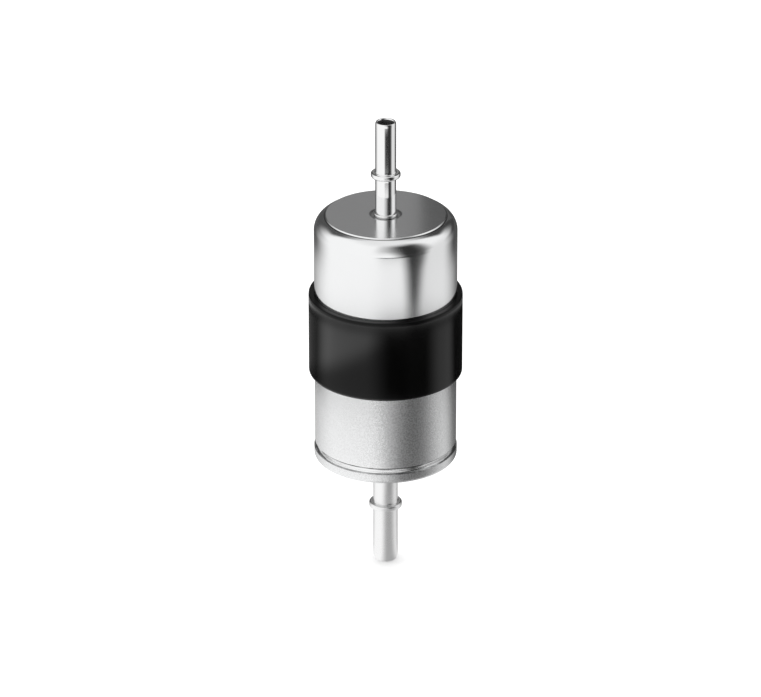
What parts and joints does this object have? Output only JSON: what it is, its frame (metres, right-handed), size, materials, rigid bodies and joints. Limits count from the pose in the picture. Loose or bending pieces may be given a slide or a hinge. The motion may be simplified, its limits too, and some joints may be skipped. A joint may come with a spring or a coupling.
{
  "type": "fuel filter",
  "caption": "Cylindrical in-line metal fuel filter with a beaded quick-connect tube at each end, a rubber isolator sleeve round the can and a sprung pleated element inside.",
  "frame": {"origin": "on the filter's axis, at the lower end of the inlet tube", "axes": "+Z along the filter's axis from the inlet tube to the outlet tube, +X and +Y across it"},
  "size_m": [0.0582, 0.0582, 0.1824],
  "materials": {
    "can_metal": "bright drawn sheet, polished above the sleeve and fine satin below it",
    "tube_metal": "bright plated tube",
    "braze_metal": "bright braze fillet",
    "cover_metal": "satin pressed sheet",
    "sleeve_rubber": "matt black moulded rubber with a soft sheen",
    "seal_rubber": "matt black seal rubber",
    "filter_paper": "resin-treated filter paper, pale straw",
    "adhesive": "amber plastisol and hot-melt adhesive",
    "inner_steel": "plain tinned sheet",
    "spring_steel": "drawn spring wire"
  },
  "bodies": {
    "housing": {"can": "can_metal", "base_cover": "cover_metal", "seam_gasket": "seal_rubber", "outlet_tube": "tube_metal", "outlet_braze_ring": "braze_metal", "inlet_tube": "tube_metal", "inlet_braze_ring": "braze_metal", "inlet_deflector": "inner_steel", "element_spring": "spring_steel"},
    "sleeve": {"isolator_sleeve": "sleeve_rubber"},
    "element": {"pleated_media": "filter_paper", "pleat_seam_clip": "inner_steel", "pleat_ring_lower": "adhesive", "pleat_ring_upper": "adhesive", "core_tube": "inner_steel", "outlet_end_disc": "inner_steel", "inlet_end_disc": "inner_steel", "outlet_potting_ring": "adhesive", "inlet_potting_ring": "adhesive", "outlet_grommet": "seal_rubber"}
  },
  "joints": [
    {"name": "sleeve_slide", "type": "slide", "parent": "housing", "child": "sleeve", "axis": [0, 0, 1], "range_m": [-0.029, 0.066]},
    {"name": "element_float", "type": "slide", "parent": "housing", "child": "element", "axis": [0, 0, -1], "range_m": [0, 0.0025], "stiffness_N_per_m": 1500, "springref_m": -0.01, "deforming": ["element_spring"]}
  ]
}
